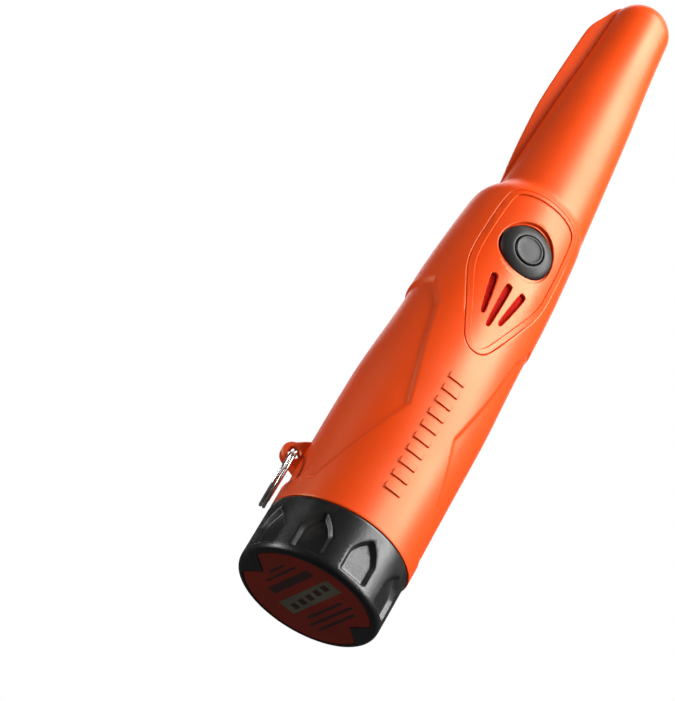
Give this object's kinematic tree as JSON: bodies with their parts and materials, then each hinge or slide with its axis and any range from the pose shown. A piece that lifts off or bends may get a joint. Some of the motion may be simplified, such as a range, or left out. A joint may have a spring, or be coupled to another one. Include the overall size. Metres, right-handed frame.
{
  "type": "pinpointer probe",
  "caption": "Tapered round handheld probe with a domed tip, side scraper fin, shield-shaped button panel, scalloped screw cap over the battery and a split ring on a lug.",
  "frame": {"origin": "centre of the cap's flat rim, where the probe stands on its end", "axes": "+Z along the probe towards the domed tip; the button panel faces -Y; the fin and the ring are on the -X side, turned 13 degrees towards +Y"},
  "size_m": [0.047, 0.0426, 0.2352],
  "materials": {
    "shell": "satin moulded",
    "panel": "satin moulded",
    "gasket": "matte",
    "button_rubber": "satin",
    "cap_plastic": "satin moulded",
    "label": "printed, laminated",
    "mesh": "woven",
    "switch_body": "matte",
    "plunger": "matte",
    "sounder_case": "matte",
    "frame_plastic": "matte",
    "board": "solder resist",
    "screws": "plated",
    "chip": "matte",
    "capacitor": "sleeved",
    "plug": "matte",
    "wire": "satin",
    "ferrite": "sintered",
    "bobbin": "matte",
    "coil": "enamelled copper wire",
    "foam": "foam",
    "motor_case": "plated",
    "shaft": "ground",
    "weight": "sintered",
    "contact": "plated",
    "spring": "spring wire",
    "battery_jacket": "printed steel",
    "battery_fill": "matte",
    "terminal": "nickel plated",
    "seal": "greased",
    "ring_steel": "nickel plated"
  },
  "bodies": {
    "housing": {"main_housing": "shell", "control_panel": "panel", "panel_gasket": "gasket", "button_boot": "button_rubber", "tact_switch": "switch_body", "sounder": "sounder_case", "sounder_mesh": "mesh", "chassis": "frame_plastic", "circuit_board": "board", "board_screws": "screws", "microcontroller": "chip", "capacitors": "capacitor", "coil_plug": "plug", "coil_leads": "wire", "ferrite_rod": "ferrite", "coil_bobbin": "bobbin", "transmit_coil": "coil", "sense_coil": "coil", "tip_cushion": "foam", "vibration_motor": "motor_case", "contact_blocks": "contact", "contact_springs": "spring"},
    "button": {"button_cap": "button_rubber", "switch_plunger": "plunger"},
    "battery": {"battery_can": "battery_jacket", "battery_cells": "battery_fill", "battery_terminals": "terminal"},
    "cap": {"end_cap": "cap_plastic", "cap_pad": "foam", "cap_seal": "seal", "cap_label": "label"},
    "ring": {"split_ring": "ring_steel"},
    "rotor": {"motor_shaft": "shaft", "motor_weight": "weight"}
  },
  "joints": [
    {"name": "button_press", "type": "slide", "parent": "housing", "child": "button", "axis": [0, 1, 0], "range_m": [0, 0.0008], "stiffness_N_per_m": 800, "springref_m": -0.0012},
    {"name": "cap_travel", "type": "slide", "parent": "housing", "child": "battery", "axis": [0, 0, -1], "range_m": [0, 0.006], "deforming": ["contact_springs"]},
    {"name": "cap_turn", "type": "hinge", "parent": "battery", "child": "cap", "pos_m": [0, 0, 0], "axis": [0, 0, -1], "range_deg": [0, 720]},
    {"name": "ring_swing", "type": "hinge", "parent": "housing", "child": "ring", "pos_m": [-0.02231, 0.00515, 0.0353], "axis": [0.225, 0.9744, 0], "range_deg": [0, 180]},
    {"name": "motor_spin", "type": "hinge", "parent": "housing", "child": "rotor", "pos_m": [0, 0.0025, 0.08], "axis": [0, 0, 1], "continuous": true}
  ],
  "couplings": [
    {"joint": "cap_turn", "follows": "cap_travel", "rad_per_m": 2094.4}
  ]
}
